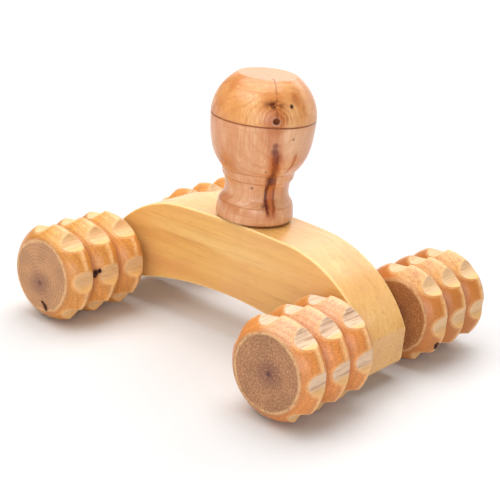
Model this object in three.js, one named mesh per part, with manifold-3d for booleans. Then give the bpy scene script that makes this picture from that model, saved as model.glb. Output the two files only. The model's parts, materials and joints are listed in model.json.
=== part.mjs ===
// Wooden roller massager: an arched plank on two pairs of grooved rollers, with a turned knob
// on top. Millimetres, +Z up. X runs along the arch and Y along the roller axles. The origin
// is on the floor, in the middle of the space that the massager takes up.

import * as THREE from 'three';
import { mergeVertices } from 'three/addons/utils/BufferGeometryUtils.js';
import Module from 'manifold-3d';

const wasm = await Module();
wasm.setup();

// ---- driving dimensions -------------------------------------------------------------------

const fit_gap = 0.3; // clearance between two pieces that touch

// rollers: three ridges turned side by side, then fluted lengthwise
const ridge_radius = 21;
const groove_radius = 15.4; // also the radius of both flat ends
const ridge_pitch = 14.85;
const ridge_count = 3;
const flute_count = 7;
const flute_share = 0.5; // part of each ridge that the flutes take away
const flute_depth = 2.9; // below the ridge's own radius
const lathe_steps = 4 * flute_count; // a step starts at each flute's edge
const flute_steps = 16;

// axles: plain rods in blind bores of the rollers
const axle_radius = 3;
const axle_bore_depth = 24;
const axle_steps = 16;
const wheelbase_half = 60;
const end_float = 11.6; // free sideways travel of a roller pair over the plank

// where each pair stands on its sideways travel, and how far each roller is turned
const pairs = [
  { side: 'left', x: -wheelbase_half, shift: 1.2, front_turn: -5, back_turn: 0 },
  { side: 'right', x: wheelbase_half, shift: 3.6, front_turn: -3, back_turn: 0 },
];

// plank: sawn to an arch out of one thick board
const plank_thickness = 28;
const plank_half_length = 72.2;
const plank_bottom = 7.1;
const crown_height = 52.1;
const crown_radius = 480;
const crown_half_width = 28.6; // where the crown's curve meets the shoulders'
const shoulder_radius = 52;
const belly_radius = 161.9;
const belly_height = 19.7; // underside of the arch at its middle
const plank_edge = 0.8; // eased edges
const toe_radius = 2.5; // round lower corner of each end
const heel_radius = 1.2; // inner corner of each foot

// knob: turned in one piece
const knob_foot_radius = 16.2;
const knob_neck_radius = 13.3;
const knob_bulb_radius = 21.8;
const knob_top_radius = 12.3;
const knob_top_height = 112.9;
const knob_line_height = 96.1; // burnt line round the widest part
const knob_line_depth = 0.35;
const knob_steps = 32;

// screw: holds the knob from under the plank
const screw_radius = 2.3;
const screw_head_radius = 4.6;
const screw_head_height = 3;
const screw_length = 50;
const screw_face_height = 25.5;
const screw_steps = 20;
const screw_slot_width = 1.1;
const screw_slot_span = 5;
const screw_slot_depth = 1.6;

// ---- sizes that follow from them ----------------------------------------------------------

const roller_length = ridge_count * ridge_pitch;
const flute_half_angle = Math.PI * flute_share / flute_count;
const flute_half_width = ridge_radius * Math.sin(flute_half_angle);
const flute_sag = flute_depth - ridge_radius * (1 - Math.cos(flute_half_angle));
const flute_radius = (flute_half_width ** 2 + flute_sag ** 2) / (2 * flute_sag);
const bore_radius = axle_radius + fit_gap;
const span_between_rollers = plank_thickness + end_float;
const axle_length = span_between_rollers + 2 * (axle_bore_depth - fit_gap);
const plank_y = -(pairs[0].shift + pairs[1].shift) / 2;

// ---- helpers ------------------------------------------------------------------------------

function solid(geometry) {
  const bare = geometry.clone();
  bare.deleteAttribute('normal');
  bare.deleteAttribute('uv');
  const merged = mergeVertices(bare, 1e-4);
  return new wasm.Manifold(new wasm.Mesh({
    numProp: 3,
    vertProperties: new Float32Array(merged.attributes.position.array),
    triVerts: new Uint32Array(merged.index.array),
  }));
}

function cut(geometry, cutters) {
  let body = solid(geometry);
  for (const cutter of cutters) {
    body = body.subtract(solid(cutter));
  }
  const mesh = body.getMesh();
  const result = new THREE.BufferGeometry();
  result.setAttribute('position', new THREE.BufferAttribute(mesh.vertProperties, 3));
  result.setIndex(new THREE.BufferAttribute(mesh.triVerts, 1));
  const faceted = result.toNonIndexed();
  faceted.computeVertexNormals();
  return faceted;
}

// a cylinder along Y
function rod(radius, length, steps) {
  return new THREE.CylinderGeometry(radius, radius, length, steps);
}

// revolves a profile of (radius, height) points about Z
function turned_upright(points, steps) {
  return new THREE.LatheGeometry(points, steps).rotateX(Math.PI / 2);
}

function part(name, geometry, material) {
  const mesh = new THREE.Mesh(geometry, material);
  mesh.name = name;
  return mesh;
}

function wood(color, roughness) {
  return new THREE.MeshStandardMaterial({ color, roughness, metalness: 0 });
}

function steel() {
  return new THREE.MeshStandardMaterial({ color: 0xb9bcc0, roughness: 0.35, metalness: 1 });
}

// ---- plank --------------------------------------------------------------------------------

function plank_outline() {
  const crown_angle = Math.asin(crown_half_width / crown_radius);
  const crown_centre = crown_height - crown_radius;
  const shoulder_reach = crown_radius - shoulder_radius;
  const shoulder_x = shoulder_reach * Math.sin(crown_angle);
  const shoulder_z = crown_centre + shoulder_reach * Math.cos(crown_angle);
  const end_angle = Math.acos((plank_half_length - shoulder_x) / shoulder_radius);
  const belly_centre = belly_height - belly_radius;
  const foot_drop = plank_bottom - belly_centre;
  const foot_x = Math.sqrt(belly_radius ** 2 - foot_drop ** 2);
  const belly_angle = Math.asin((foot_x - heel_radius) / belly_radius);
  const heel_z = belly_centre + belly_radius * Math.cos(belly_angle);
  const right = Math.PI / 2;
  const toe_x = plank_half_length - toe_radius;
  const toe_z = plank_bottom + toe_radius;

  const outline = new THREE.Shape();
  outline.absarc(shoulder_x, shoulder_z, shoulder_radius, end_angle, right - crown_angle, false);
  outline.absarc(0, crown_centre, crown_radius, right - crown_angle, right + crown_angle, false);
  outline.absarc(-shoulder_x, shoulder_z, shoulder_radius,
    right + crown_angle, Math.PI - end_angle, false);
  outline.absarc(-toe_x, toe_z, toe_radius, Math.PI, 3 * right, false);
  outline.lineTo(-foot_x - heel_radius, plank_bottom);
  outline.quadraticCurveTo(-foot_x, plank_bottom, heel_radius - foot_x, heel_z);
  outline.absarc(0, belly_centre, belly_radius, right + belly_angle, right - belly_angle, true);
  outline.quadraticCurveTo(foot_x, plank_bottom, foot_x + heel_radius, plank_bottom);
  outline.absarc(toe_x, toe_z, toe_radius, 3 * right, 4 * right, false);
  return outline;
}

function plank_geometry() {
  const board = new THREE.ExtrudeGeometry(plank_outline(), {
    depth: plank_thickness - 2 * plank_edge,
    bevelThickness: plank_edge,
    bevelSize: plank_edge,
    bevelOffset: -plank_edge,
    bevelSegments: 1,
    curveSegments: 8,
  });
  board.rotateX(Math.PI / 2);
  board.translate(0, plank_thickness / 2 - plank_edge, 0);

  const bores = pairs.map((pair) => {
    const bore = rod(bore_radius, 2 * plank_thickness, axle_steps);
    return bore.translate(pair.x, 0, ridge_radius);
  });

  // clearance hole with a countersunk seat, reached through a counterbore from below
  const hole_radius = screw_radius + fit_gap;
  const well_radius = screw_head_radius + 2 * fit_gap;
  const seat_top = screw_face_height + screw_head_height;
  const screw_hole = turned_upright([
    new THREE.Vector2(0, 0),
    new THREE.Vector2(well_radius, 0),
    new THREE.Vector2(well_radius, screw_face_height),
    new THREE.Vector2(hole_radius, seat_top),
    new THREE.Vector2(hole_radius, 2 * crown_height),
    new THREE.Vector2(0, 2 * crown_height),
  ], screw_steps);
  return cut(board, [...bores, screw_hole]);
}

// ---- knob ---------------------------------------------------------------------------------

function knob_profile() {
  const foot = crown_height + fit_gap;
  const bore_top = screw_face_height + screw_length + 1;
  const bore = screw_radius + fit_gap;
  const line = knob_line_height;
  const dome_rise = 20.7; // half height of the ellipse that the dome is part of
  const dome_end = Math.acos(knob_top_radius / knob_bulb_radius);
  const dome_base = knob_top_height - dome_rise * Math.sin(dome_end);
  const dome_start = Math.asin((line + knob_line_depth - dome_base) / dome_rise);

  const profile = new THREE.Path();
  profile.moveTo(0, bore_top);
  profile.lineTo(bore, bore_top);
  profile.lineTo(bore, foot);
  profile.lineTo(knob_foot_radius - 1.8, foot);
  profile.quadraticCurveTo(knob_foot_radius, foot, knob_foot_radius, foot + 2.2);
  profile.lineTo(knob_foot_radius - 0.7, foot + 7.4); // slightly tapered foot
  profile.bezierCurveTo(knob_foot_radius - 1.6, foot + 9.4, knob_neck_radius, foot + 9.6,
    knob_neck_radius, foot + 13);
  profile.quadraticCurveTo(knob_neck_radius, foot + 16, 14.2, foot + 17.6); // neck
  profile.lineTo(14.6, foot + 18); // low band under the bulb
  profile.lineTo(15.3, foot + 21.2);
  profile.bezierCurveTo(19.6, foot + 26.6, 21, foot + 30.4,
    knob_bulb_radius - 0.15, line - knob_line_depth); // bulb
  profile.lineTo(knob_bulb_radius - knob_line_depth, line);
  profile.absellipse(0, dome_base, knob_bulb_radius, dome_rise, dome_start, dome_end, false, 0);
  profile.lineTo(0, knob_top_height);
  return profile.getPoints(5);
}

// ---- screw --------------------------------------------------------------------------------

function screw_geometry() {
  const neck = screw_face_height + screw_head_height;
  const tip = screw_face_height + screw_length;
  const blank = turned_upright([
    new THREE.Vector2(0, screw_face_height),
    new THREE.Vector2(screw_head_radius, screw_face_height),
    new THREE.Vector2(screw_radius, neck),
    new THREE.Vector2(screw_radius, tip - 3 * screw_radius),
    new THREE.Vector2(0, tip),
  ], screw_steps);
  const slots = [0, Math.PI / 2].map((turn) => {
    const slot = new THREE.BoxGeometry(screw_slot_span, screw_slot_width, 2 * screw_slot_depth);
    return slot.rotateZ(turn).translate(0, 0, screw_face_height);
  });
  return cut(blank, slots);
}

// ---- rollers and axles --------------------------------------------------------------------

// radius of a ridge at a distance from its top, as a share of the way down to the groove
function ridge_profile(share) {
  return ridge_radius - (ridge_radius - groove_radius) * (share + share ** 3) / 2;
}

// inner_side is 1 where the plank is on the roller's +Y side, and -1 where it's on the other
function roller_geometry(inner_side) {
  const start = -roller_length / 2;
  const profile = [new THREE.Vector2(0, start), new THREE.Vector2(groove_radius, start)];
  for (let ridge = 0; ridge < ridge_count; ridge++) {
    const top = start + (ridge + 0.5) * ridge_pitch;
    for (const share of [-0.5, 0, 0.5, 1]) {
      const y = top + share * ridge_pitch / 2;
      profile.push(new THREE.Vector2(ridge_profile(Math.abs(share)), y));
    }
  }
  profile.push(new THREE.Vector2(0, -start));

  const flute_reach = ridge_radius - flute_depth + flute_radius;
  const cutters = [];
  for (let flute = 0; flute < flute_count; flute++) {
    const cutter = rod(flute_radius, 2 * roller_length, flute_steps);
    cutter.translate(flute_reach, 0, 0);
    cutters.push(cutter.rotateY(2 * Math.PI * flute / flute_count));
  }
  const bore = rod(bore_radius, 2 * axle_bore_depth, axle_steps);
  cutters.push(bore.translate(0, inner_side * roller_length / 2, 0));
  return cut(new THREE.LatheGeometry(profile, lathe_steps), cutters);
}

function roller_pair({ side, x, shift, front_turn, back_turn }, roller_wood) {
  const pair = new THREE.Group();
  pair.position.set(x, shift, ridge_radius);
  pair.add(part(`${side}_axle`, rod(axle_radius, axle_length, axle_steps), steel()));

  const reach = (span_between_rollers + roller_length) / 2;
  const ends = [
    { end: 'front', inner_side: 1, turn: front_turn },
    { end: 'back', inner_side: -1, turn: back_turn },
  ];
  for (const { end, inner_side, turn } of ends) {
    const roller = part(`${end}_${side}_roller`, roller_geometry(inner_side), roller_wood());
    roller.position.y = -inner_side * reach;
    roller.rotation.y = THREE.MathUtils.degToRad(turn);
    pair.add(roller);
  }
  return pair;
}

// ---- assembly -----------------------------------------------------------------------------

const massager = new THREE.Group();
massager.position.y = plank_y;

massager.add(part('arch_body', plank_geometry(), wood(0xe0b06c, 0.55)));
massager.add(part('handle_knob', turned_upright(knob_profile(), knob_steps), wood(0xdd9f6c, 0.45)));
massager.add(part('handle_screw', screw_geometry(), steel()));
for (const pair of pairs) {
  massager.add(roller_pair(pair, () => wood(0xd38b4c, 0.6)));
}

export default massager;
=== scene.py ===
"""Wooden roller massager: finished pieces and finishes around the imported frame.

Every piece is modelled at its own place in metres, with +Z up, X along the plank and Y along
the rods. Sizes below are in millimetres.
"""
import json
import math

import bmesh
import bpy
from mathutils import Matrix, Vector


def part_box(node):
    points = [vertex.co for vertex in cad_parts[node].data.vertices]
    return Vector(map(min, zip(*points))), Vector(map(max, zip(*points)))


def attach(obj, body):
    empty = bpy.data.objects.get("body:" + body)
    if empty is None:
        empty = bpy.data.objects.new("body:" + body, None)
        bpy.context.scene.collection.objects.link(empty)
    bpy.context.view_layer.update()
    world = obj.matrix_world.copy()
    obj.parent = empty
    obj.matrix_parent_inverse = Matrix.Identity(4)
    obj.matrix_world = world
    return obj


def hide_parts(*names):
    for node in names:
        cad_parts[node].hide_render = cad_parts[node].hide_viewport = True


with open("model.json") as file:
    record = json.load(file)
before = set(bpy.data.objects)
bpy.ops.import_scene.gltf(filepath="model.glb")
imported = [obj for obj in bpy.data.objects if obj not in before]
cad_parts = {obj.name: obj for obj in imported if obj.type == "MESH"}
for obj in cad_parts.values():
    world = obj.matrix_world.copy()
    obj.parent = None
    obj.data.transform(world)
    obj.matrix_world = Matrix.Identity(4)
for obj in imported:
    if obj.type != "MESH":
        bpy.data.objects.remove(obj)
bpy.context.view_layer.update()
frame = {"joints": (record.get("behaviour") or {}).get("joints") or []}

MM = 0.001

# ---- camera and studio ----------------------------------------------------------------------

CAMERA_PLACE = (0.3017, -0.3893, 0.2192)
CAMERA_TURN = 37.97  # degrees from +Y towards -X
CAMERA_DIP = 20.4
CAMERA_ROLL = 5.61
CAMERA_LENS = 88.9
CAMERA_SENSOR = 36
CAMERA_REACH = 50  # metres

FLOOR_HALF = 6.0  # metres
FLOOR_GLOW = (450.0, 2200.0)  # where the paper starts to glow and where it is all white
WORLD_TINT = (1.0, 0.92, 0.84, 1)
WORLD_STRENGTH = 0.23
WHITE = (1.0, 1.0, 1.0)

# name, place, aim and size in metres, watts, tint
SOFTBOXES = [
    ("overhead", (-0.25, 0.15, 1.4), (0, 0, 0), (1.4, 1.4), 21.0, WHITE),
    ("backdrop", (-0.50, 2.20, 0.85), (0, 0, 0.1), (4.8, 1.6), 24.0, WHITE),
    ("kicker", (-0.30, 1.20, 1.00), (0, 0, 0.05), (1.1, 0.6), 5.0, WHITE),
    ("fill", (0.9, -1.1, 0.40), (0, 0, 0.05), (1.1, 0.6), 7.4, WHITE),
    ("window", (-0.20, -0.57, 0.77), (0, 0, 0.1), (0.84, 0.32), 3.2, (1, 0.98, 0.96)),
]

# ---- rollers --------------------------------------------------------------------------------

RIDGE_RADIUS = 21.0
GROOVE_RADIUS = 15.4
RIDGE_PITCH = 14.85
RIDGE_COUNT = 3
RIDGE_SHARES = (-0.84, -0.68, -0.52, -0.36, -0.2, -0.08, 0, 0.08, 0.2, 0.36, 0.52, 0.68, 0.84, 1)
END_RING_RADIUS = 8  # keeps the end faces evenly meshed
FLUTE_COUNT = 7
FLUTE_RADIUS = 5.79
FLUTE_REACH = 23.89  # from the roller's axis to the axis of the round cutter
ROD_BORE_RADIUS = 3.3
ROD_BORE_DEPTH = 24.0
ROLLER_LENGTH = RIDGE_COUNT * RIDGE_PITCH
ROLLER_STEPS = 196
ROLLER_GRAIN = 0.36  # size of the cells that the carved roller is meshed in
ROLLER_TURNS = {
    "front_left_roller": -5.0,
    "front_right_roller": -3.0,
    "back_left_roller": 25.0,
    "back_right_roller": 0.0,
}

# hollows of small dead knots in the rollers, several to a knot: across, along and up from the
# roller's middle, then radius
ROLLER_KNOTS = {
    "front_left_roller": [
        ((2.4, -22.3, -14.0), 0.9), ((1.8, -22.3, -13.1), 0.85),
        ((0.9, -22.3, -12.2), 0.65), ((0.1, -22.3, -11.6), 0.5),
        ((16.1, -7.0, 0.2), 0.9), ((16.5, -6.5, 1.4), 1.0), ((17.5, -5.3, 2.1), 0.75),
    ],
    "front_right_roller": [],
    "back_left_roller": [((-12.0, 7.4, 10.4), 1.1)],
    "back_right_roller": [((18.6, -16.1, -8.4), 1.1), ((18.1, -15.6, -9.9), 0.9)],
}
HOLLOW_SHAPE = (0.8, 1.0, 1.25)

# ---- plank ----------------------------------------------------------------------------------

CROWN_HEIGHT = 52.1
CROWN_RADIUS = 480.0
CROWN_HALF_WIDTH = 28.6
SHOULDER_RADIUS = 52.0
BELLY_HEIGHT = 19.7
BELLY_RADIUS = 161.9
TOE_RADIUS = 2.5
HEEL_RADIUS = 1.2
PLANK_EDGE = 0.9
ROD_BORE_LENGTH = 80
SCREW_WELL_RADIUS = 5.2
SCREW_HOLE_RADIUS = 2.6

# ---- knob and screw -------------------------------------------------------------------------

KNOB_FOOT_RADIUS = 16.2
KNOB_NECK_RADIUS = 13.3
KNOB_BULB_RADIUS = 21.8
KNOB_TOP_RADIUS = 11.9
KNOB_DOME_RISE = 20.7  # half height of the ellipse that the dome is part of
KNOB_DOME_STEPS = 24
KNOB_LINE_HEIGHT = 96.1
KNOB_BORE_TOP = 76.5
KNOB_STEPS = 144
KNOT_BEARING = -38.1  # degrees round the knob from +X
KNOT_HEIGHT = 98.7
KNOT_RADIUS = 1.15
SCREW_HEAD_RADIUS = 4.6
SCREW_HEAD_HEIGHT = 3.0
SCREW_RADIUS = 2.3
SCREW_CORE_RADIUS = 1.65
SCREW_NECK_LENGTH = 12
SCREW_POINT_LENGTH = 6
SCREW_SLOT = (5.0, 1.1, 3.2)
THREAD_PITCH = 2.2
THREAD_TURNS = 13
THREAD_STEPS = 36 * THREAD_TURNS
THREAD_HALF_WIDTH = 0.55
ROUND_STEPS = 64  # for plain round holes and the screw

ALONG_Y = (math.pi / 2, 0, 0)
UP = Vector((0, 0, 1))


# ---- where things are, from the frame -------------------------------------------------------

def middle(node):
    low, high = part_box(node)
    return (low + high) / 2


def joint_place(name):
    found = next(joint for joint in frame["joints"] if joint["name"] == name)
    return Vector(found["pos_m"])


plank_low, plank_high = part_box("arch_body")
knob_low, knob_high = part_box("handle_knob")
screw_low, screw_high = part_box("handle_screw")
plank_middle = middle("arch_body")
knob_axis = Vector((plank_middle.x, plank_middle.y, 0))


def roller_place(name):
    side = "left" if "left" in name else "right"
    axis = joint_place(side + "_roll")
    return Vector((axis.x, middle(name).y, axis.z))


# ---- modelling helpers ----------------------------------------------------------------------

def deselect_all():
    bpy.ops.object.select_all(action="DESELECT")


def only(piece):
    deselect_all()
    piece.select_set(True)
    bpy.context.view_layer.objects.active = piece


def edit(piece, pick="VERT"):
    only(piece)
    bpy.ops.object.mode_set(mode="EDIT")
    bpy.ops.mesh.select_mode(type=pick)
    bpy.ops.mesh.select_all(action="DESELECT")


def leave_edit():
    bpy.ops.object.mode_set(mode="OBJECT")


def settle():
    bpy.ops.object.transform_apply(location=True, rotation=True, scale=True)


def select_faces(piece, wanted):
    mesh = bmesh.from_edit_mesh(piece.data)
    for face in mesh.faces:
        if wanted(face):
            face.select_set(True)
    mesh.select_flush_mode()
    bmesh.update_edit_mesh(piece.data)


def select_edges(piece, wanted):
    mesh = bmesh.from_edit_mesh(piece.data)
    for edge in mesh.edges:
        if wanted(edge):
            edge.select_set(True)
    mesh.select_flush_mode()
    bmesh.update_edit_mesh(piece.data)


def traced(name, points):
    """A chain of edges through the points, drawn by extruding one vertex."""
    deselect_all()
    bpy.ops.mesh.primitive_plane_add(size=MM, location=points[0])
    piece = bpy.context.object
    piece.name = name
    settle()
    edit(piece)
    bpy.ops.mesh.select_all(action="SELECT")
    bpy.ops.mesh.merge(type="CENTER")
    for here, there in zip(points, points[1:]):
        bpy.ops.mesh.extrude_region_move(TRANSFORM_OT_translate={"value": there - here})
    leave_edit()
    return piece


def turned(name, profile, axis_place, axis, steps):
    """A solid turned on a lathe from (radius, height) points in millimetres."""
    out = Vector((1, 0, 0))
    points = [axis_place + (out * radius + axis * height) * MM for radius, height in profile]
    piece = traced(name, points)
    edit(piece)
    bpy.ops.mesh.select_all(action="SELECT")
    bpy.ops.mesh.spin(steps=steps, angle=2 * math.pi, center=axis_place, axis=axis)
    bpy.ops.mesh.select_all(action="SELECT")
    bpy.ops.mesh.remove_doubles(threshold=0.002 * MM)
    bpy.ops.mesh.normals_make_consistent(inside=False)
    leave_edit()
    return piece


def rod(name, radius, length, place, turn=ALONG_Y, steps=ROUND_STEPS):
    deselect_all()
    bpy.ops.mesh.primitive_cylinder_add(
        vertices=steps, radius=radius * MM, depth=length * MM, location=place, rotation=turn
    )
    piece = bpy.context.object
    piece.name = name
    settle()
    return piece


def apply_modifier(piece, kind, **settings):
    only(piece)
    bpy.ops.object.modifier_add(type=kind)
    modifier = piece.modifiers[-1]
    for setting, value in settings.items():
        setattr(modifier, setting, value)
    bpy.ops.object.modifier_apply(modifier=modifier.name)


def combine(piece, tool, operation="DIFFERENCE"):
    apply_modifier(piece, "BOOLEAN", object=tool, operation=operation, solver="EXACT")
    bpy.data.objects.remove(tool)


def seal(piece):
    """Merges corners that the cuts left on top of each other."""
    edit(piece)
    bpy.ops.mesh.select_all(action="SELECT")
    bpy.ops.mesh.remove_doubles(threshold=0.002 * MM)
    bpy.ops.mesh.dissolve_degenerate(threshold=0.002 * MM)
    leave_edit()


def smooth(piece, degrees=32):
    only(piece)
    bpy.ops.object.shade_smooth_by_angle(angle=math.radians(degrees))


def arc(across, up, radius, start, end, steps):
    """Points on a round arc, from start to end in degrees."""
    points = []
    for step in range(steps + 1):
        angle = math.radians(start + (end - start) * step / steps)
        points.append((across + radius * math.cos(angle), up + radius * math.sin(angle)))
    return points


def bend(corners, steps):
    """Points on a Bezier curve with three or four corners."""
    points = []
    for step in range(steps + 1):
        share = step / steps
        row = [Vector(corner) for corner in corners]
        while len(row) > 1:
            row = [a.lerp(b, share) for a, b in zip(row, row[1:])]
        points.append(tuple(row[0]))
    return points


# ---- plank ----------------------------------------------------------------------------------

def plank_half_outline():
    """From the middle of the belly round the right foot to the middle of the crown."""
    half_length = (plank_high.x - plank_low.x) / 2 / MM
    bottom = plank_low.z / MM
    crown_angle = math.asin(CROWN_HALF_WIDTH / CROWN_RADIUS)
    crown_centre = CROWN_HEIGHT - CROWN_RADIUS
    reach = CROWN_RADIUS - SHOULDER_RADIUS
    shoulder_x = reach * math.sin(crown_angle)
    shoulder_z = crown_centre + reach * math.cos(crown_angle)
    end_angle = math.acos((half_length - shoulder_x) / SHOULDER_RADIUS)
    belly_centre = BELLY_HEIGHT - BELLY_RADIUS
    foot_x = math.sqrt(BELLY_RADIUS ** 2 - (bottom - belly_centre) ** 2)
    belly_angle = math.degrees(math.asin((foot_x - HEEL_RADIUS) / BELLY_RADIUS))

    belly = arc(0, belly_centre, BELLY_RADIUS, 90, 90 - belly_angle, 26)
    heel = bend([belly[-1], (foot_x, bottom), (foot_x + HEEL_RADIUS, bottom)], 5)
    toe = arc(half_length - TOE_RADIUS, bottom + TOE_RADIUS, TOE_RADIUS, -90, 0, 8)
    crown_start = 90 - math.degrees(crown_angle)
    shoulder_start = math.degrees(end_angle)
    shoulder = arc(shoulder_x, shoulder_z, SHOULDER_RADIUS, shoulder_start, crown_start, 36)
    crown = arc(0, crown_centre, CROWN_RADIUS, crown_start, 90, 12)
    return belly + heel[1:] + toe + shoulder + crown[1:]


def screw_hole_cutter():
    face = screw_low.z / MM
    seat = face + SCREW_HEAD_HEIGHT
    profile = [
        (0, 0),
        (SCREW_WELL_RADIUS, 0),
        (SCREW_WELL_RADIUS, face),
        (SCREW_HOLE_RADIUS, seat),
        (SCREW_HOLE_RADIUS, 2 * CROWN_HEIGHT),
        (0, 2 * CROWN_HEIGHT),
    ]
    return turned("screw_hole", profile, knob_axis, UP, ROUND_STEPS)


def make_plank():
    half = plank_half_outline()
    outline = half + [(-x, z) for x, z in reversed(half[1:-1])]
    points = [Vector((x * MM, plank_low.y, z * MM)) for x, z in outline]
    plank = traced("plank", points)
    edit(plank)
    bpy.ops.mesh.select_all(action="SELECT")
    bpy.ops.mesh.edge_face_add()
    thickness = plank_high.y - plank_low.y
    bpy.ops.mesh.extrude_region_move(TRANSFORM_OT_translate={"value": (0, thickness, 0)})
    bpy.ops.mesh.select_all(action="SELECT")
    bpy.ops.mesh.normals_make_consistent(inside=False)
    bpy.ops.mesh.select_all(action="DESELECT")
    bpy.ops.mesh.select_mode(type="FACE")
    select_faces(plank, lambda face: abs(face.normal.y) > 0.99)
    bpy.ops.mesh.region_to_loop()
    bpy.ops.mesh.bevel(offset=PLANK_EDGE * MM, segments=4, profile=0.5, affect="EDGES")
    leave_edit()

    for side in ("left", "right"):
        place = joint_place(side + "_roll")
        combine(plank, rod("rod_bore", ROD_BORE_RADIUS, ROD_BORE_LENGTH, place))
    combine(plank, screw_hole_cutter())
    seal(plank)
    smooth(plank)
    apply_modifier(plank, "WEIGHTED_NORMAL", keep_sharp=True, weight=100)
    return plank


# ---- knob -----------------------------------------------------------------------------------

def knob_stem():
    """Radius and height above the knob's foot, from the screw hole to the foot of the bulb."""
    foot = [(SCREW_HOLE_RADIUS, 0), (13.0, 0), (14.6, 0.12)]
    foot += bend([(15.0, 0.2), (KNOB_FOOT_RADIUS, 0.4), (KNOB_FOOT_RADIUS, 2.4)], 6)
    foot += [(16.0, 4.4), (15.75, 6.3)]
    neck = bend([(15.5, 7.3), (14.6, 9.4), (KNOB_NECK_RADIUS, 9.6), (KNOB_NECK_RADIUS, 13)], 14)
    neck += bend([(KNOB_NECK_RADIUS, 13), (KNOB_NECK_RADIUS, 16), (14.25, 17.6)], 8)[1:]
    collar = bend([(14.35, 17.75), (14.9, 18.2), (14.95, 19.2)], 4)
    collar += [(15.15, 20.4), (15.3, 21.2), (15.42, 21.55)]
    return foot + neck + collar


def knob_profile():
    foot = knob_low.z / MM
    top = knob_high.z / MM - foot
    line = KNOB_LINE_HEIGHT - foot
    top_angle = math.acos(KNOB_TOP_RADIUS / KNOB_BULB_RADIUS)
    dome_base = top - KNOB_DOME_RISE * math.sin(top_angle)
    line_angle = math.asin((line + 0.35 - dome_base) / KNOB_DOME_RISE)

    bulb_end = (KNOB_BULB_RADIUS - 0.06, line - 0.55)
    bulb = bend([(15.75, 21.9), (19.7, 26.6), (21.3, 30.8), bulb_end], 24)
    groove = [(KNOB_BULB_RADIUS - 0.1, line - 0.38), (KNOB_BULB_RADIUS - 0.4, line - 0.14),
              (KNOB_BULB_RADIUS - 0.4, line + 0.08)]
    dome = []
    for step in range(KNOB_DOME_STEPS + 1):
        angle = line_angle + (top_angle - 0.02 - line_angle) * step / KNOB_DOME_STEPS
        dome.append((KNOB_BULB_RADIUS * math.cos(angle),
                     dome_base + KNOB_DOME_RISE * math.sin(angle)))
    disc = [(KNOB_TOP_RADIUS - 0.1, top - 0.06), (KNOB_TOP_RADIUS - 0.6, top), (6, top), (0, top)]

    profile = [(0, KNOB_BORE_TOP), (SCREW_HOLE_RADIUS, KNOB_BORE_TOP)]
    for radius, height in knob_stem() + bulb + groove + dome + disc:
        profile.append((radius, foot + height))
    return profile


def knob_point(degrees, height, radius):
    """A point beside the knob's axis, in metres, from its bearing and height."""
    bearing = math.radians(degrees)
    across = Vector((math.cos(bearing), math.sin(bearing), 0)) * radius * MM
    return knob_axis + across + Vector((0, 0, height * MM))


def make_knob():
    knob = turned("knob", knob_profile(), knob_axis, UP, KNOB_STEPS)
    place = knob_point(KNOT_BEARING, KNOT_HEIGHT, KNOB_BULB_RADIUS - 0.45)
    deselect_all()
    bpy.ops.mesh.primitive_uv_sphere_add(
        segments=32, ring_count=16, radius=KNOT_RADIUS * MM, location=place
    )
    knot = bpy.context.object
    knot.name = "knot"
    settle()
    combine(knob, knot)
    smooth(knob, 38)
    return knob


# ---- rollers --------------------------------------------------------------------------------

def ridge_profile(share):
    """Radius of a ridge at a share of the way from its top to the groove."""
    return RIDGE_RADIUS - (RIDGE_RADIUS - GROOVE_RADIUS) * (share + share ** 3) / 2


def make_roller_blank():
    """The turned and fluted roller, lying along Y round the origin, with no bore yet."""
    start = -ROLLER_LENGTH / 2
    profile = [(0, start), (END_RING_RADIUS, start), (GROOVE_RADIUS, start)]
    for ridge in range(RIDGE_COUNT):
        top = start + (ridge + 0.5) * RIDGE_PITCH
        for share in RIDGE_SHARES:
            profile.append((ridge_profile(abs(share)), top + share * RIDGE_PITCH / 2))
    profile += [(END_RING_RADIUS, -start), (0, -start)]
    blank = turned("roller_blank", profile, Vector((0, 0, 0)), Vector((0, 1, 0)), ROLLER_STEPS)

    for flute in range(FLUTE_COUNT):
        angle = 2 * math.pi * flute / FLUTE_COUNT
        place = Vector((math.cos(angle), 0, math.sin(angle))) * FLUTE_REACH * MM
        combine(blank, rod("flute", FLUTE_RADIUS, 2 * ROLLER_LENGTH, place, steps=128))
    return blank


def make_roller(blank, name):
    only(blank)
    bpy.ops.object.duplicate()
    roller = bpy.context.object
    roller.name = name.replace("roller", "fluted_roller")

    inner_side = 1 if "front" in name else -1
    end = Vector((0, inner_side * ROLLER_LENGTH / 2 * MM, 0))
    combine(roller, rod("bore", ROD_BORE_RADIUS, 2 * ROD_BORE_DEPTH, end))
    for place, radius in ROLLER_KNOTS[name]:
        deselect_all()
        bpy.ops.mesh.primitive_ico_sphere_add(
            subdivisions=3, radius=radius * MM, location=Vector(place) * MM
        )
        hollow = bpy.context.object
        hollow.scale = HOLLOW_SHAPE
        settle()
        combine(roller, hollow)
    apply_modifier(roller, "REMESH", mode="VOXEL", voxel_size=ROLLER_GRAIN * MM, adaptivity=0)
    apply_modifier(roller, "SMOOTH", factor=0.5, iterations=3)
    only(roller)
    bpy.ops.object.shade_smooth()
    roller.rotation_euler = (0, math.radians(ROLLER_TURNS[name]), 0)
    roller.location = roller_place(name)
    settle()
    return roller


# ---- rods and screw -------------------------------------------------------------------------

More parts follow.
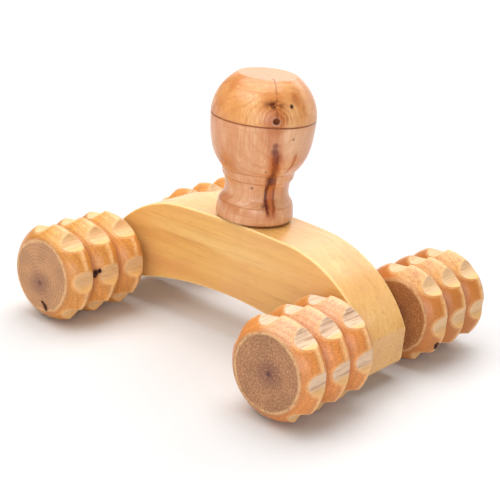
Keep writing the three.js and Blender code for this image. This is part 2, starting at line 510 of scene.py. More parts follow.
def make_rod(side):
    low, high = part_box(side + "_axle")
    place = (low + high) / 2
    length = (high.y - low.y) / MM
    piece = rod(side + "_rod", (high.z - low.z) / 2 / MM, length, place, steps=72)
    edit(piece, "EDGE")
    ends = (low.y + 0.01 * MM, high.y - 0.01 * MM)
    select_edges(piece, lambda edge: all(
        not ends[0] < corner.co.y < ends[1] for corner in edge.verts
    ))
    bpy.ops.mesh.bevel(offset=0.5 * MM, segments=3, affect="EDGES")
    leave_edit()
    smooth(piece, 30)
    apply_modifier(piece, "WEIGHTED_NORMAL", keep_sharp=True)
    return piece


def make_thread():
    """A pointed ridge wound round the screw's core."""
    start = screw_low.z / MM + SCREW_HEAD_HEIGHT + SCREW_NECK_LENGTH + 2
    root = SCREW_CORE_RADIUS - 0.3
    corners = [(root, start - THREAD_HALF_WIDTH), (SCREW_RADIUS - 0.02, start),
               (root, start + THREAD_HALF_WIDTH)]
    points = [knob_axis + Vector((radius, 0, height)) * MM for radius, height in corners]
    thread = traced("thread", points)
    edit(thread)
    bpy.ops.mesh.select_all(action="SELECT")
    bpy.ops.mesh.edge_face_add()
    leave_edit()
    only(thread)
    bpy.context.scene.cursor.location = knob_axis
    bpy.ops.object.origin_set(type="ORIGIN_CURSOR")
    apply_modifier(thread, "SCREW", axis="Z", angle=2 * math.pi * THREAD_TURNS,
                   screw_offset=THREAD_PITCH * THREAD_TURNS * MM, iterations=1,
                   steps=THREAD_STEPS, render_steps=THREAD_STEPS, use_merge_vertices=False)
    only(thread)
    settle()
    edit(thread)
    bpy.ops.mesh.select_all(action="SELECT")
    bpy.ops.mesh.remove_doubles(threshold=0.001 * MM)
    bpy.ops.mesh.select_all(action="DESELECT")
    bpy.ops.mesh.select_non_manifold()
    bpy.ops.mesh.edge_face_add()
    bpy.ops.mesh.select_all(action="SELECT")
    bpy.ops.mesh.normals_make_consistent(inside=False)
    leave_edit()
    return thread


def make_screw():
    face = screw_low.z / MM
    tip = screw_high.z / MM
    neck = face + SCREW_HEAD_HEIGHT
    profile = [
        (0, face), (SCREW_HEAD_RADIUS - 0.25, face), (SCREW_HEAD_RADIUS - 0.05, face + 0.1),
        (SCREW_HEAD_RADIUS - 0.05, face + 0.35), (SCREW_RADIUS, neck),
        (SCREW_RADIUS, neck + SCREW_NECK_LENGTH), (SCREW_CORE_RADIUS, neck + SCREW_NECK_LENGTH + 0.8),
        (SCREW_CORE_RADIUS, tip - SCREW_POINT_LENGTH), (0.5, tip - 0.8), (0, tip),
    ]
    screw = turned("knob_screw", profile, knob_axis, UP, ROUND_STEPS)
    for turn in (0, math.pi / 2):
        deselect_all()
        place = knob_axis + Vector((0, 0, face * MM))
        bpy.ops.mesh.primitive_cube_add(size=MM, location=place, rotation=(0, 0, turn))
        slot = bpy.context.object
        slot.scale = SCREW_SLOT
        settle()
        combine(screw, slot)
    combine(screw, make_thread(), "UNION")
    seal(screw)
    smooth(screw, 30)
    return screw


# ---- material helpers -----------------------------------------------------------------------

class Finish:
    """A material in the making: a shader and short ways to put nodes in front of it."""

    def __init__(self, name):
        self.material = bpy.data.materials.new(name)
        self.material.use_nodes = True
        self.nodes = self.material.node_tree.nodes
        self.links = self.material.node_tree.links
        self.shader = self.nodes["Principled BSDF"]

    def node(self, kind, **settings):
        made = self.nodes.new(kind)
        for setting, value in settings.items():
            setattr(made, setting, value)
        return made

    def feed(self, socket, value):
        if isinstance(value, bpy.types.NodeSocket):
            self.links.new(value, socket)
        else:
            socket.default_value = value

    def object_place(self, centre=(0, 0, 0), turn=(0, 0, 0)):
        """Millimetres from a centre, turned with the piece."""
        source = self.node("ShaderNodeTexCoord")
        mapping = self.node("ShaderNodeMapping", vector_type="TEXTURE")
        self.links.new(source.outputs["Object"], mapping.inputs["Vector"])
        mapping.inputs["Location"].default_value = centre
        mapping.inputs["Rotation"].default_value = turn
        mapping.inputs["Scale"].default_value = (MM, MM, MM)
        return mapping.outputs["Vector"]

    def stretched(self, vector, scale, shift=(0, 0, 0), turn=(0, 0, 0)):
        mapping = self.node("ShaderNodeMapping")
        self.links.new(vector, mapping.inputs["Vector"])
        mapping.inputs["Scale"].default_value = scale
        mapping.inputs["Location"].default_value = shift
        mapping.inputs["Rotation"].default_value = turn
        return mapping.outputs["Vector"]

    def noise(self, vector, scale=1.0, detail=3.0, rough=0.5, twist=0.0):
        made = self.node("ShaderNodeTexNoise")
        self.links.new(vector, made.inputs["Vector"])
        made.inputs["Scale"].default_value = scale
        made.inputs["Detail"].default_value = detail
        made.inputs["Roughness"].default_value = rough
        made.inputs["Distortion"].default_value = twist
        return made.outputs["Fac"]

    def maths(self, operation, first, second=0.0, third=0.0):
        made = self.node("ShaderNodeMath", operation=operation)
        for socket, value in zip(made.inputs, (first, second, third)):
            self.feed(socket, value)
        return made.outputs[0]

    def times(self, first, second):
        return self.maths("MULTIPLY", first, second)

    def length(self, first, second):
        """The long side of a right angle whose other sides are first and second."""
        square = self.maths("ADD", self.times(first, first), self.times(second, second))
        return self.maths("SQRT", square)

    def apart(self, first, second):
        return self.maths("ABSOLUTE", self.maths("SUBTRACT", first, second))

    def parts(self, vector):
        made = self.node("ShaderNodeSeparateXYZ")
        self.links.new(vector, made.inputs[0])
        return made.outputs

    def span(self, value, low, high, out_low=0.0, out_high=1.0):
        """value from low to high, eased into out_low to out_high."""
        made = self.node("ShaderNodeMapRange", interpolation_type="SMOOTHSTEP")
        self.feed(made.inputs["Value"], value)
        made.inputs["From Min"].default_value = low
        made.inputs["From Max"].default_value = high
        made.inputs["To Min"].default_value = out_low
        made.inputs["To Max"].default_value = out_high
        return made.outputs["Result"]

    def colours(self, value, stops):
        """A run of colours along value, as (place, colour) pairs."""
        made = self.node("ShaderNodeValToRGB")
        self.feed(made.inputs["Fac"], value)
        ramp = made.color_ramp
        ramp.interpolation = "EASE"
        while len(ramp.elements) < len(stops):
            ramp.elements.new(0.5)
        for element, (place, colour) in zip(ramp.elements, stops):
            element.position = place
            element.color = (*colour, 1)
        return made.outputs["Color"]

    def mix(self, share, first, second, mode="MIX"):
        made = self.node("ShaderNodeMix", data_type="RGBA", blend_type=mode)
        made.clamp_factor = True
        self.feed(made.inputs[0], share)
        for socket, value in ((made.inputs[6], first), (made.inputs[7], second)):
            if isinstance(value, tuple):
                value = (*value, 1)
            self.feed(socket, value)
        return made.outputs[2]

    def stain(self, colour, share, strength, tone):
        """Lays a tone over a colour, as strongly as share times strength says."""
        return self.mix(self.times(share, strength), colour, tone)

    def spot(self, vector, place, size, edge=0.6):
        """1 inside a soft round or stretched spot, 0 outside; size is its half width each way."""
        scale = tuple(1 / width for width in size)
        shift = tuple(-at / width for at, width in zip(place, size))
        local = self.stretched(vector, scale, shift)
        length = self.node("ShaderNodeVectorMath", operation="LENGTH")
        self.links.new(local, length.inputs[0])
        return self.span(length.outputs["Value"], 1 + edge, 1 - edge)

    def bump(self, height, strength, distance=0.0002, below=None):
        made = self.node("ShaderNodeBump")
        made.inputs["Strength"].default_value = strength
        made.inputs["Distance"].default_value = distance
        self.links.new(height, made.inputs["Height"])
        if below is not None:
            self.links.new(below, made.inputs["Normal"])
        return made.outputs["Normal"]

    def finish(self, colour, roughness, normal):
        self.feed(self.shader.inputs["Base Color"], colour)
        self.feed(self.shader.inputs["Roughness"], roughness)
        self.links.new(normal, self.shader.inputs["Normal"])
        return self.material


def paint(red, green, blue):
    """A colour as it shows on a screen, 0 to 255, as the light values that a shader takes."""
    shares = [level / 255 for level in (red, green, blue)]
    return tuple(s / 12.92 if s <= 0.04045 else ((s + 0.055) / 1.055) ** 2.4 for s in shares)


# ---- finishes -------------------------------------------------------------------------------

PLANK_HEART = (150.0, -70.0)  # how far behind the middle of the frame, and how high
PLANK_RINGS = 0.34  # how many to a millimetre
PIN_KNOT_PLACE = (71.6, 10.2, 33.0)
PIN_KNOT_SIZE = (2.4, 0.8, 0.9)


def plank_wood():
    """Pale straight-grained board; the heart of the tree lies far below and behind it."""
    finish = Finish("plank_wood")
    place = finish.object_place()
    wander = finish.noise(finish.stretched(place, (0.012, 0.05, 0.05)), 1.0, 3.0)
    x, y, z = finish.parts(place)
    behind = finish.maths("SUBTRACT", y, PLANK_HEART[0])
    below = finish.maths("SUBTRACT", z, PLANK_HEART[1])
    ring = finish.maths("MULTIPLY_ADD", wander, 9.0, finish.length(behind, below))
    band = finish.maths("FRACT", finish.times(ring, PLANK_RINGS))
    broad = finish.noise(finish.stretched(place, (0.006, 0.11, 0.11)), 1.0, 2.0)
    fibre = finish.noise(finish.stretched(place, (0.035, 2.2, 2.2)), 1.0, 4.0, 0.62)
    pores = finish.noise(finish.stretched(place, (0.16, 3.6, 3.6)), 1.0, 2.0, 0.5)
    streaks = finish.noise(finish.stretched(place, (0.011, 0.6, 0.6), (4, 0, 7)), 1.0, 2.5)

    base = finish.colours(broad, [
        (0.30, paint(228, 171, 96)), (0.5, paint(238, 186, 109)), (0.72, paint(247, 204, 132)),
    ])
    late = finish.span(band, 0.62, 0.98)
    colour = finish.mix(finish.times(late, 0.3), base, paint(214, 160, 88))
    colour = finish.mix(finish.span(fibre, 0.36, 0.66, 0.32, 0.0), colour, paint(205, 150, 84))
    colour = finish.mix(finish.span(streaks, 0.56, 0.70, 0.0, 0.5), colour, paint(206, 138, 68))
    colour = finish.mix(finish.span(pores, 0.60, 0.74, 0.0, 0.5), colour, paint(184, 116, 62))
    blush = finish.noise(finish.stretched(place, (0.03, 0.06, 0.06), (2, 5, 1)), 1.0, 3.0, 0.6)
    colour = finish.mix(finish.span(blush, 0.48, 0.66, 0.0, 0.4), colour, paint(222, 158, 104))
    # edges painted paler all round, partly as wear and partly as a painted highlight along the eased
    # edges
    side = finish.apart(y, plank_middle.y / MM)
    half_thickness = (plank_high.y - plank_low.y) / 2 / MM
    edge_wear_and_highlight = finish.times(finish.span(side, half_thickness - 1.2, half_thickness - 0.5),
                          finish.span(side, half_thickness - 0.02, half_thickness - 0.12))
    colour = finish.stain(colour, edge_wear_and_highlight, 0.7, paint(255, 226, 160))
    pin_knot = finish.spot(place, PIN_KNOT_PLACE, PIN_KNOT_SIZE, 0.5)
    colour = finish.stain(colour, pin_knot, 0.75, paint(120, 70, 34))

    roughness = finish.span(fibre, 0.3, 0.7, 0.34, 0.24)
    normal = finish.bump(fibre, 0.10, 0.00012)
    normal = finish.bump(pores, 0.10, 0.0001, normal)
    return finish.finish(colour, roughness, normal)


KNOB_HEART = (-9.0, 4.0)
KNOB_RINGS = 0.42
KNOB_CREASES = ((74.1, 0.45), (70.3, 0.4), (59.9, 0.4))  # height, strength

# each mark on the knob: degrees round it, height, radius, size
KNOB_CLOUDS = (
    (-105, 77.5, 17.8, (4.5, 4.5, 3.6)), (-118, 61.2, 15.0, (5.5, 5.5, 2.6)),
    (-107, 109.6, 16.8, (4.4, 4.4, 2.4)), (-115, 98.5, 21.6, (5.0, 5.0, 5.0)),
    (-7, 109.0, 17.2, (2.2, 2.2, 3.2)), (-4, 104.0, 20.0, (2.6, 2.6, 3.0)),
    (-84, 58.3, 15.8, (7.0, 4.0, 1.6)), (60, 100.0, 21.5, (5.0, 5.0, 5.5)),
    (140, 80.0, 19.0, (4.5, 4.5, 5.0)), (95, 62.0, 15.0, (4.0, 4.0, 3.0)),
)
KNOB_CLOTS = (
    (-31.5, 72.5, 14.9, (1.9, 1.9, 2.6)), (-35.5, 61.3, 15.0, (1.5, 1.5, 1.5)),
    (-30.5, 83.0, 20.2, (1.0, 1.0, 2.0)),
)
KNOB_DOTS = (
    (-35.9, 88.8, 21.3, 1.2), (-36.1, 86.3, 21.0, 1.5), (-59.9, 68.4, 13.5, 0.6),
    (-16.0, 91.3, 21.7, 0.55), (-42.0, 77.0, 17.5, 0.5), (-38.0, 112.9, 10.4, 0.6),
)

# streaks below the knot: (height, degrees) points, half width, strength, tone
KNOB_STREAKS = (
    ([(96, -40.0), (78, -33.0), (60, -27.0)], 13.0, 0.5, (186, 108, 62)),
    ([(86, -34.0), (72, -29.0), (56, -26.0)], 11.0, 0.7, (186, 94, 36)),
    ([(87, -35.5), (78, -31.5), (70, -29.0)], 5.4, 0.85, (132, 58, 28)),
    ([(75, -31.0), (66, -35.0), (58, -31.0)], 4.2, 0.9, (92, 34, 18)),
    ([(75, -28.0), (66, -20.0), (58, -23.0)], 3.6, 0.75, (142, 74, 38)),
    ([(85, -8.0), (80, -8.5), (76, -12.0)], 3.4, 0.7, (176, 92, 40)),
)


def knob_wood():
    """Pinkish orange wood turned upright, with a knot, its halo and brown streaks below it."""
    finish = Finish("knob_wood")
    place = finish.object_place(centre=knob_axis)
    wander = finish.noise(finish.stretched(place, (0.06, 0.06, 0.02)), 1.0, 3.0)
    x, y, z = finish.parts(place)
    aside = finish.maths("SUBTRACT", x, KNOB_HEART[0])
    behind = finish.maths("SUBTRACT", y, KNOB_HEART[1])
    knot = surface(KNOT_BEARING, KNOT_HEIGHT, KNOB_BULB_RADIUS)
    swirl = finish.spot(place, knot, (7.5, 7.5, 9.5), 0.9)
    ring = finish.maths("MULTIPLY_ADD", wander, 6.0, finish.length(aside, behind))
    ring = finish.maths("MULTIPLY_ADD", swirl, 5.0, ring)
    band = finish.maths("FRACT", finish.times(ring, KNOB_RINGS))
    broad = finish.noise(finish.stretched(place, (0.085, 0.085, 0.03), (3, 1, 0)), 1.0, 2.0)
    fibre = finish.noise(finish.stretched(place, (1.5, 1.5, 0.03)), 1.0, 4.0, 0.6)
    pores = finish.noise(finish.stretched(place, (3.4, 3.4, 0.2)), 1.0, 2.0, 0.5)

    upper = finish.colours(broad, [
        (0.3, paint(214, 142, 76)), (0.5, paint(230, 166, 100)), (0.7, paint(243, 192, 132)),
    ])
    lower = finish.colours(broad, [
        (0.3, paint(213, 152, 106)), (0.5, paint(225, 171, 128)), (0.7, paint(237, 191, 150)),
    ])
    above = finish.span(z, KNOB_LINE_HEIGHT - 0.4, KNOB_LINE_HEIGHT + 0.4)
    colour = finish.mix(above, lower, upper)
    colour = finish.mix(finish.span(band, 0.6, 0.98, 0.0, 0.26), colour, paint(196, 120, 66))
    colour = finish.mix(finish.span(fibre, 0.40, 0.62, 0.5, 0.0), colour, paint(200, 122, 70))
    rings = finish.noise(finish.stretched(place, (0.03, 0.03, 1.6)), 1.0, 3.0, 0.6)
    colour = finish.mix(finish.span(rings, 0.54, 0.72, 0.0, 0.4), colour, paint(198, 120, 68))
    colour = finish.mix(finish.span(pores, 0.64, 0.76, 0.0, 0.3), colour, paint(160, 96, 58))

    top = knob_high.z / MM
    from_axis = finish.length(x, y)
    near_top = finish.span(z, top - 1.6, top - 1.0)
    shade = finish.times(near_top,
                         finish.span(from_axis, KNOB_TOP_RADIUS + 2.7, KNOB_TOP_RADIUS + 0.1))
    colour = finish.stain(colour, shade, 0.45, paint(196, 118, 60))
    end_grain = finish.times(near_top,
                             finish.span(from_axis, KNOB_TOP_RADIUS + 0.05, KNOB_TOP_RADIUS - 0.3))
    grit = finish.noise(finish.stretched(place, (1.1, 1.1, 1.1), (5, 2, 3)), 1.0, 4.0, 0.7)
    face = finish.mix(finish.span(grit, 0.52, 0.68, 0.0, 0.55), paint(229, 168, 134),
                      paint(186, 116, 88))
    colour = finish.stain(colour, end_grain, 0.95, face)

    colour, hole = knob_marks(finish, place, knot, colour, fibre)

    line = finish.apart(z, KNOB_LINE_HEIGHT - 0.1)
    colour = finish.mix(finish.span(line, 0.55, 0.1, 0.0, 0.8), colour, paint(150, 84, 44))
    for height, strength in KNOB_CREASES:
        crease = finish.span(finish.apart(z, height), 0.4, 0.1, 0.0, strength)
        colour = finish.mix(crease, colour, paint(172, 104, 62))
    # painted shade on the bottom of the foot, where it sits over the plank
    foot_shade = finish.span(z, knob_low.z / MM + 1.2, knob_low.z / MM + 0.2)
    colour = finish.stain(colour, foot_shade, 0.6, paint(130, 76, 40))

    roughness = finish.span(fibre, 0.3, 0.7, 0.32, 0.22)
    roughness = finish.maths("MULTIPLY_ADD", end_grain, 0.3, roughness)
    roughness = finish.maths("MAXIMUM", roughness, hole)
    normal = finish.bump(fibre, 0.08, 0.00012)
    normal = finish.bump(pores, 0.08, 0.0001, normal)
    return finish.finish(colour, roughness, normal)


def surface(degrees, height, radius):
    """A place on the knob as its materials see it, in millimetres from the knob's axis."""
    at = knob_point(degrees, height, radius) - knob_axis
    return tuple(value / MM for value in at)


def knob_marks(finish, place, knot, colour, fibre):
    """The knot's dark hole and halo, a mark above it and a split streak below it."""
    x, y, z = finish.parts(place)
    ragged = finish.maths("MULTIPLY_ADD", fibre, 7.0, -3.5)
    bearing = finish.times(finish.maths("ARCTAN2", y, x), 180 / math.pi)

    # darker clouds in the wood
    cloud = finish.noise(finish.stretched(place, (0.35, 0.35, 0.12), (1, 4, 2)), 1.0, 4.0, 0.6)
    cloud = finish.span(cloud, 0.34, 0.58, 0.25, 1.0)
    for degrees, height, radius, size in KNOB_CLOUDS:
        blotch = finish.spot(place, surface(degrees, height, radius), size, 0.8)
        colour = finish.stain(colour, finish.times(blotch, cloud), 0.6, paint(186, 104, 48))

    # painted light: the right of the bulb is painted paler, as if lit from the right
    pale = finish.spot(place, surface(-6, 89.5, 21.6), (7.0, 7.0, 5.5), 0.8)
    colour = finish.stain(colour, pale, 0.4, paint(242, 204, 166))
    halo = finish.spot(place, knot, (4.2, 4.2, 4.6), 0.5)
    colour = finish.stain(colour, halo, 0.75, paint(176, 92, 40))
    # painted highlight: a pale ring round the hole stands for a glint of light on its rim
    ring = finish.spot(place, knot, (1.9, 1.9, 1.9), 0.15)
    colour = finish.stain(colour, ring, 0.7, paint(196, 156, 134))
    # painted shade: the pit and a little round it are painted near black, as the inside of a deep hole
    # looks
    hole = finish.spot(place, surface(KNOT_BEARING, KNOT_HEIGHT, 20.7), (1.75, 1.75, 1.5), 0.12)
    colour = finish.mix(hole, colour, paint(22, 17, 18))

    # an amber glow above the knot with a ragged brown mark in it
    ripple = finish.noise(finish.stretched(place, (0.55, 0.55, 0.4)), 1.0, 3.0)
    glow = finish.spot(place, surface(KNOT_BEARING, 105.5, 19.4), (5.0, 5.0, 3.4), 0.8)
    colour = finish.stain(colour, glow, 0.55, paint(190, 104, 44))
    wing = finish.spot(place, surface(KNOT_BEARING - 3, 104.8, 19.8), (3.4, 3.4, 1.5), 0.7)
    wing = finish.times(wing, finish.span(ripple, 0.36, 0.50))
    colour = finish.mix(wing, colour, paint(92, 38, 18))

    # growth rings crowd round the knot in arcs
    away = finish.node("ShaderNodeVectorMath", operation="DISTANCE")
    finish.links.new(place, away.inputs[0])
    away.inputs[1].default_value = knot
    distance = finish.maths("MULTIPLY_ADD", ripple, 1.6, away.outputs["Value"])
    arcs = finish.maths("SINE", finish.times(distance, 2 * math.pi / 1.7))
    near = finish.times(finish.span(distance, 10.5, 5.0),
                        finish.span(z, KNOT_HEIGHT - 2.5, KNOT_HEIGHT))
    arcs = finish.times(finish.span(arcs, -0.3, 0.9), near)
    colour = finish.stain(colour, arcs, 0.6, paint(170, 92, 40))

    # a second small dead knot with its trail
    second = finish.spot(place, surface(-19.5, 104.5, 19.9), (0.8, 0.8, 1.0), 0.5)
    colour = finish.mix(second, colour, paint(52, 30, 24))
    trail = finish.spot(place, surface(-13.0, 107.5, 18.3), (1.6, 1.6, 4.2), 0.8)
    colour = finish.stain(colour, trail, 0.6, paint(168, 84, 34))

    # from the top rim down to the knot runs a thin crack
    off = finish.apart(bearing, -37.6)
    crack = finish.times(finish.span(off, 1.8, 0.5),
                         finish.span(z, KNOT_HEIGHT, KNOT_HEIGHT + 2))
    crack = finish.times(crack, finish.span(ripple, 0.36, 0.56))
    colour = finish.stain(colour, crack, 0.8, paint(142, 74, 38))

    for route, half_width, strength, tone in KNOB_STREAKS:
        streak = strand(finish, bearing, z, route, half_width, ragged)
        colour = finish.stain(colour, streak, strength, paint(*tone))
    for degrees, height, radius, size in KNOB_CLOTS:
        clot = finish.spot(place, surface(degrees, height, radius), size, 0.7)
        clot = finish.times(clot, finish.span(ripple, 0.32, 0.52, 0.3, 1.0))
        colour = finish.stain(colour, clot, 0.8, paint(104, 40, 22))
    for degrees, height, radius, size in KNOB_DOTS:
        dot = finish.spot(place, surface(degrees, height, radius), (size,) * 3, 0.5)
        colour = finish.stain(colour, dot, 0.75, paint(112, 58, 40))
    return colour, hole


STREAK_SWEEP = 60.0  # a streak lies within this many degrees before +X
STREAK_FADE = 1.5


def strand(finish, bearing, z, route, half_width, ragged):
    """1 along a streak that passes the (height, bearing) points, from its top to its end."""
    top, end = route[0][0], route[-1][0]
    line = finish.node("ShaderNodeFloatCurve")
    made = finish.node("ShaderNodeMapRange")
    finish.feed(made.inputs["Value"], z)
    made.inputs["From Min"].default_value = end
    made.inputs["From Max"].default_value = top
    finish.links.new(made.outputs["Result"], line.inputs["Value"])
    points = line.mapping.curves[0].points
    marks = [((height - end) / (top - end), 1 + at / STREAK_SWEEP) for height, at in reversed(route)]
    points[0].location = marks[0]
    points[1].location = marks[-1]
    points.new(*marks[1])
    line.mapping.update()
    centre = finish.maths("MULTIPLY_ADD", line.outputs["Value"], STREAK_SWEEP, -STREAK_SWEEP)
    off = finish.maths("ADD", finish.apart(bearing, centre), ragged)
    inside = finish.span(off, half_width, half_width * 0.35)
    starts = finish.span(z, top + STREAK_FADE, top - STREAK_FADE)
    ends = finish.span(z, end - STREAK_FADE, end + STREAK_FADE)
    return finish.times(inside, finish.times(starts, ends))


# where the painted sheen lies round each roller, in degrees from +X towards +Z: near the top
TOP_SHEEN_BEARING = 77.0
ROLLER_TONES = {
    # end grain, land, painted sheen along the top, pith across and up, how dark the heart, how coarse
    # the pores
    # and how golden the scoops
    "front_left_roller": (paint(198, 144, 98), paint(214, 148, 68), paint(240, 186, 98),
                          (-1.0, -3.4), 0.75, 0.45, 0.6),
    "front_right_roller": (paint(178, 124, 84), paint(218, 142, 72), paint(243, 196, 152),
                           (1.2, 0.3), 0.95, 1.0, 0.0),
    "back_left_roller": (paint(190, 138, 90), paint(226, 158, 78), paint(238, 184, 104),
                         (2.0, 1.5), 0.5, 0.8, 0.4),
    "back_right_roller": (paint(170, 106, 56), paint(190, 120, 54), paint(244, 196, 122),
                          (-1.5, 2.0), 0.6, 0.8, 0.5),
}


def roller_wood(name):
    """Orange branch wood: browner end grain with rings, pale scoops where the cutter went."""
    end_colour, land_colour, top_sheen_colour, pith, heart, coarse, golden = ROLLER_TONES[name]
    finish = Finish("roller_wood_" + name.replace("_roller", ""))
    turn = (0, math.radians(ROLLER_TURNS[name]), 0)
    place = finish.object_place(roller_place(name), turn)
    shift = (len(name) * 3.1, pith[0] * 5.0, pith[1] * 7.0)
    x, y, z = finish.parts(place)
    radius = finish.length(x, z)
    angle = finish.maths("ARCTAN2", z, x)
    half_step = math.pi / FLUTE_COUNT
    sector = finish.maths("WRAP", angle, half_step, -half_step)
    out = finish.times(radius, finish.maths("COSINE", sector))
    out = finish.maths("SUBTRACT", out, FLUTE_REACH)
    side = finish.times(radius, finish.maths("SINE", sector))
    from_cutter = finish.length(out, side)

    wander = finish.noise(finish.stretched(place, (0.09, 0.03, 0.09), shift), 1.0, 3.0)
    fibre = finish.noise(finish.stretched(place, (2.0, 0.10, 2.0), shift), 1.0, 4.0, 0.62)
    pores = finish.noise(finish.stretched(place, (1.5, 0.35, 1.5), shift), 1.0, 4.0, 0.75)
    broad = finish.noise(finish.stretched(place, (0.10, 0.05, 0.10), shift), 1.0, 2.0)
    fuzz = finish.noise(finish.stretched(place, (1.25, 0.06, 1.25), shift), 1.0, 4.0, 0.7)

    aside = finish.maths("SUBTRACT", x, pith[0])
    above = finish.maths("SUBTRACT", z, pith[1])
    ring_radius = finish.length(aside, above)
    ring = finish.maths("MULTIPLY_ADD", wander, 2.6, ring_radius)
    band = finish.maths("SINE", finish.times(ring, 2 * math.pi / 1.55))

    end = finish.maths("ABSOLUTE", y)
    on_end = finish.span(end, ROLLER_LENGTH / 2 - 0.45, ROLLER_LENGTH / 2 - 0.15)

    # lands, with a paler band painted along the top of each roller as a sheen of the light from above
    land = finish.mix(finish.span(broad, 0.3, 0.7), land_colour,
                      tuple(min(1, level * 1.2) for level in land_colour))
    from_top_sheen = finish.apart(angle, math.radians(TOP_SHEEN_BEARING))
    top_sheen = finish.times(finish.span(from_top_sheen, 0.60, 0.30),
                           finish.span(wander, 0.30, 0.52, 0.45, 1.0))
    land = finish.stain(land, top_sheen, 0.72, top_sheen_colour)
    land = finish.mix(finish.span(radius, 17.6, 15.6, 0.0, 0.5), land, paint(178, 110, 66))
    land = finish.mix(finish.span(band, 0.1, 1.0, 0.0, 0.3), land, paint(190, 116, 64))
    land = finish.mix(finish.span(fibre, 0.38, 0.6, 0.5, 0.0), land, paint(180, 100, 48))
    land = finish.mix(finish.span(pores, 0.56, 0.72, 0.0, 0.5), land, paint(146, 80, 38))

    # scoops: pale and furry, yellower on the same side of every scoop
    scoop = finish.mix(finish.span(fuzz, 0.32, 0.54), paint(188, 144, 112), paint(237, 207, 176))
    scoop = finish.mix(golden, scoop, paint(234, 186, 116))
    yellow_side = finish.span(side, -1.0, -3.6)
    scoop = finish.stain(scoop, yellow_side, 0.85, paint(242, 190, 118))
    in_scoop = finish.span(from_cutter, FLUTE_RADIUS + 0.4, FLUTE_RADIUS + 0.1)
    colour = finish.stain(land, in_scoop, 0.9, scoop)

    # end grain with rings, dark heart and open pores
    cloudy = finish.span(broad, 0.36, 0.66)
    end_grain = finish.mix(cloudy, end_colour, tuple(level * 0.82 for level in end_colour))
    end_grain = finish.mix(finish.span(band, -0.2, 1.0, 0.0, 0.3), end_grain, paint(140, 94, 66))
    end_grain = finish.mix(finish.span(ring_radius, 8.5, 0.8, 0.0, heart), end_grain, paint(128, 80, 62))
    open_pores = finish.span(pores, 0.50, 0.66, 0.0, 0.65 * coarse)
    end_grain = finish.mix(open_pores, end_grain, paint(112, 70, 44))
    flecks = finish.span(pores, 0.48, 0.34, 0.0, 0.55 * coarse)
    end_grain = finish.mix(flecks, end_grain, paint(224, 174, 124))
    heart_dot = finish.span(ring_radius, 1.5, 0.5)
    end_grain = finish.stain(end_grain, heart_dot, heart, paint(92, 52, 42))
    colour = finish.mix(on_end, colour, end_grain)

    # edges painted pale, partly as wear and partly as a painted highlight where the edges catch the
    # light: crests, the rims of the scoops and of the ends
    along = finish.maths("PINGPONG", finish.maths("ADD", y, ROLLER_LENGTH / 2), RIDGE_PITCH / 2)
    on_land = finish.maths("SUBTRACT", 1.0, in_scoop)
    crest = finish.span(along, RIDGE_PITCH / 2 - 2.1, RIDGE_PITCH / 2 - 0.1)
    crest = finish.times(crest, on_land)
    lip = finish.apart(from_cutter, FLUTE_RADIUS + 0.6)
    lip = finish.span(lip, 0.6, 0.05)
    chips = finish.noise(finish.stretched(place, (0.6, 0.6, 0.6), shift), 1.0, 3.0, 0.6)
    uneven = finish.maths("MULTIPLY_ADD", wander, 2.4, GROOVE_RADIUS - 1.4)
    rim = finish.times(finish.span(finish.apart(radius, uneven), 1.0, 0.0, 0.0, 0.7),
                       finish.span(end, ROLLER_LENGTH / 2 - 1.0, ROLLER_LENGTH / 2 - 0.6))
    wear_and_highlight = finish.maths("MAXIMUM", finish.maths("MAXIMUM", crest, rim), finish.times(lip, 0.5))
    wear_and_highlight = finish.times(wear_and_highlight, finish.span(chips, 0.30, 0.56, 0.25, 0.78))
    colour = finish.mix(wear_and_highlight, colour, paint(245, 198, 138))

    dull = 0.0
    for at, size in ROLLER_KNOTS[name]:
        around = finish.spot(place, at, (size * 2.1,) * 3, 0.6)
        colour = finish.stain(colour, around, 0.3, paint(150, 90, 52))
        inside = finish.spot(place, at, (size * 1.1, size * 1.1, size * 1.35), 0.25)
        colour = finish.mix(inside, colour, paint(50, 26, 18))
        dull = finish.maths("MAXIMUM", dull, inside)

    roughness = finish.maths("MULTIPLY_ADD", in_scoop, 0.3, 0.32)
    roughness = finish.maths("MULTIPLY_ADD", on_end, 0.2, roughness)
    roughness = finish.maths("MAXIMUM", roughness, dull)
    normal = finish.bump(finish.times(fuzz, in_scoop), 0.5, 0.0004)
    normal = finish.bump(fibre, 0.12, 0.00015, normal)
    normal = finish.bump(pores, 0.14, 0.00015, normal)
    return finish.finish(colour, roughness, normal)


def bright_steel():
    """Drawn steel with fine lines and a slightly uneven sheen."""
    finish = Finish("bright_steel")
    place = finish.object_place()
    lines = finish.noise(finish.stretched(place, (6.0, 0.2, 6.0)), 1.0, 4.0, 0.6)
    cloud = finish.noise(finish.stretched(place, (0.3, 0.3, 0.3)), 1.0, 3.0)
    colour = finish.colours(cloud, [(0.3, paint(176, 178, 182)), (0.7, paint(206, 207, 210))])
    roughness = finish.span(lines, 0.3, 0.7, 0.38, 0.22)
    finish.shader.inputs["Metallic"].default_value = 1.0
    return finish.finish(colour, roughness, finish.bump(lines, 0.12, 0.00005))


# ---- studio ---------------------------------------------------------------------------------

def add_camera():
    camera = bpy.data.objects.new("camera", bpy.data.cameras.new("camera"))
    bpy.context.scene.collection.objects.link(camera)
    camera.data.lens = CAMERA_LENS
    camera.data.sensor_width = CAMERA_SENSOR
    camera.data.clip_end = CAMERA_REACH
    turn = Matrix.Rotation(math.radians(CAMERA_TURN), 4, "Z")
    dip = Matrix.Rotation(math.radians(90 - CAMERA_DIP), 4, "X")
    roll = Matrix.Rotation(math.radians(CAMERA_ROLL), 4, "Z")
    camera.matrix_world = Matrix.Translation(CAMERA_PLACE) @ turn @ dip @ roll
    bpy.context.scene.camera = camera


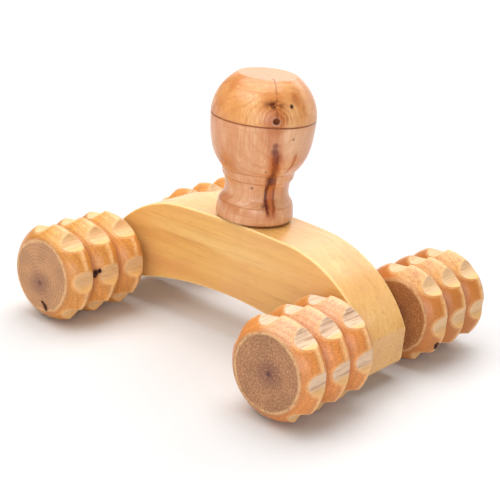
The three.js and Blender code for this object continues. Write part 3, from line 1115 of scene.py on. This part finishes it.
def add_floor():
    deselect_all()
    bpy.ops.mesh.primitive_plane_add(size=2 * FLOOR_HALF, location=(0, 0, 0))
    floor = bpy.context.object
    floor.name = "floor"
    finish = Finish("floor_paper")
    place = finish.object_place()
    tooth = finish.noise(place, 0.8, 3.0)
    finish.shader.inputs["Specular IOR Level"].default_value = 0.2
    colour = finish.colours(tooth, [(0.3, (0.73, 0.73, 0.735)), (0.7, (0.745, 0.745, 0.75))])
    x, y, z = finish.parts(place)
    glow = finish.span(finish.length(x, y), *FLOOR_GLOW)
    finish.shader.inputs["Emission Color"].default_value = (*WHITE, 1)
    finish.feed(finish.shader.inputs["Emission Strength"], glow)
    floor.data.materials.append(
        finish.finish(colour, 0.8, finish.bump(tooth, 0.02, 0.0001)))


def add_softbox(name, place, aim, size, power, tint):
    light = bpy.data.lights.new(name, "AREA")
    light.shape = "RECTANGLE"
    light.size, light.size_y = size
    light.energy = power
    light.color = tint
    lamp = bpy.data.objects.new(name, light)
    bpy.context.scene.collection.objects.link(lamp)
    lamp.location = place
    lamp.rotation_euler = (Vector(aim) - Vector(place)).to_track_quat("-Z", "Y").to_euler()


def add_world():
    """A dim warm room round the object, which shows as plain white behind it."""
    world = bpy.data.worlds.new("studio")
    bpy.context.scene.world = world
    world.use_nodes = True
    nodes = world.node_tree.nodes
    links = world.node_tree.links
    room = nodes["Background"]
    room.inputs["Color"].default_value = WORLD_TINT
    room.inputs["Strength"].default_value = WORLD_STRENGTH
    backdrop = nodes.new("ShaderNodeBackground")
    backdrop.inputs["Color"].default_value = (*WHITE, 1)
    path = nodes.new("ShaderNodeLightPath")
    either = nodes.new("ShaderNodeMixShader")
    links.new(path.outputs["Is Camera Ray"], either.inputs[0])
    links.new(room.outputs[0], either.inputs[1])
    links.new(backdrop.outputs[0], either.inputs[2])
    links.new(either.outputs[0], nodes["World Output"].inputs["Surface"])


def light_studio():
    bpy.context.scene.view_settings.view_transform = "Standard"
    add_world()
    for softbox in SOFTBOXES:
        add_softbox(*softbox)


# ---- assembly -------------------------------------------------------------------------------

def place_piece(piece, body, node, material):
    piece.data.materials.clear()
    piece.data.materials.append(material)
    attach(piece, body)
    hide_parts(node)


def build_massager():
    place_piece(make_plank(), "frame", "arch_body", plank_wood())
    place_piece(make_knob(), "frame", "handle_knob", knob_wood())
    steel = bright_steel()
    place_piece(make_screw(), "frame", "handle_screw", steel)
    for side in ("left", "right"):
        place_piece(make_rod(side), side + "_axle", side + "_axle", steel)
    blank = make_roller_blank()
    for name in ROLLER_TURNS:
        side = "left" if "left" in name else "right"
        roller = make_roller(blank, name)
        place_piece(roller, side + "_rollers", name, roller_wood(name))
    bpy.data.objects.remove(blank)


add_camera()
add_floor()
light_studio()
build_massager()
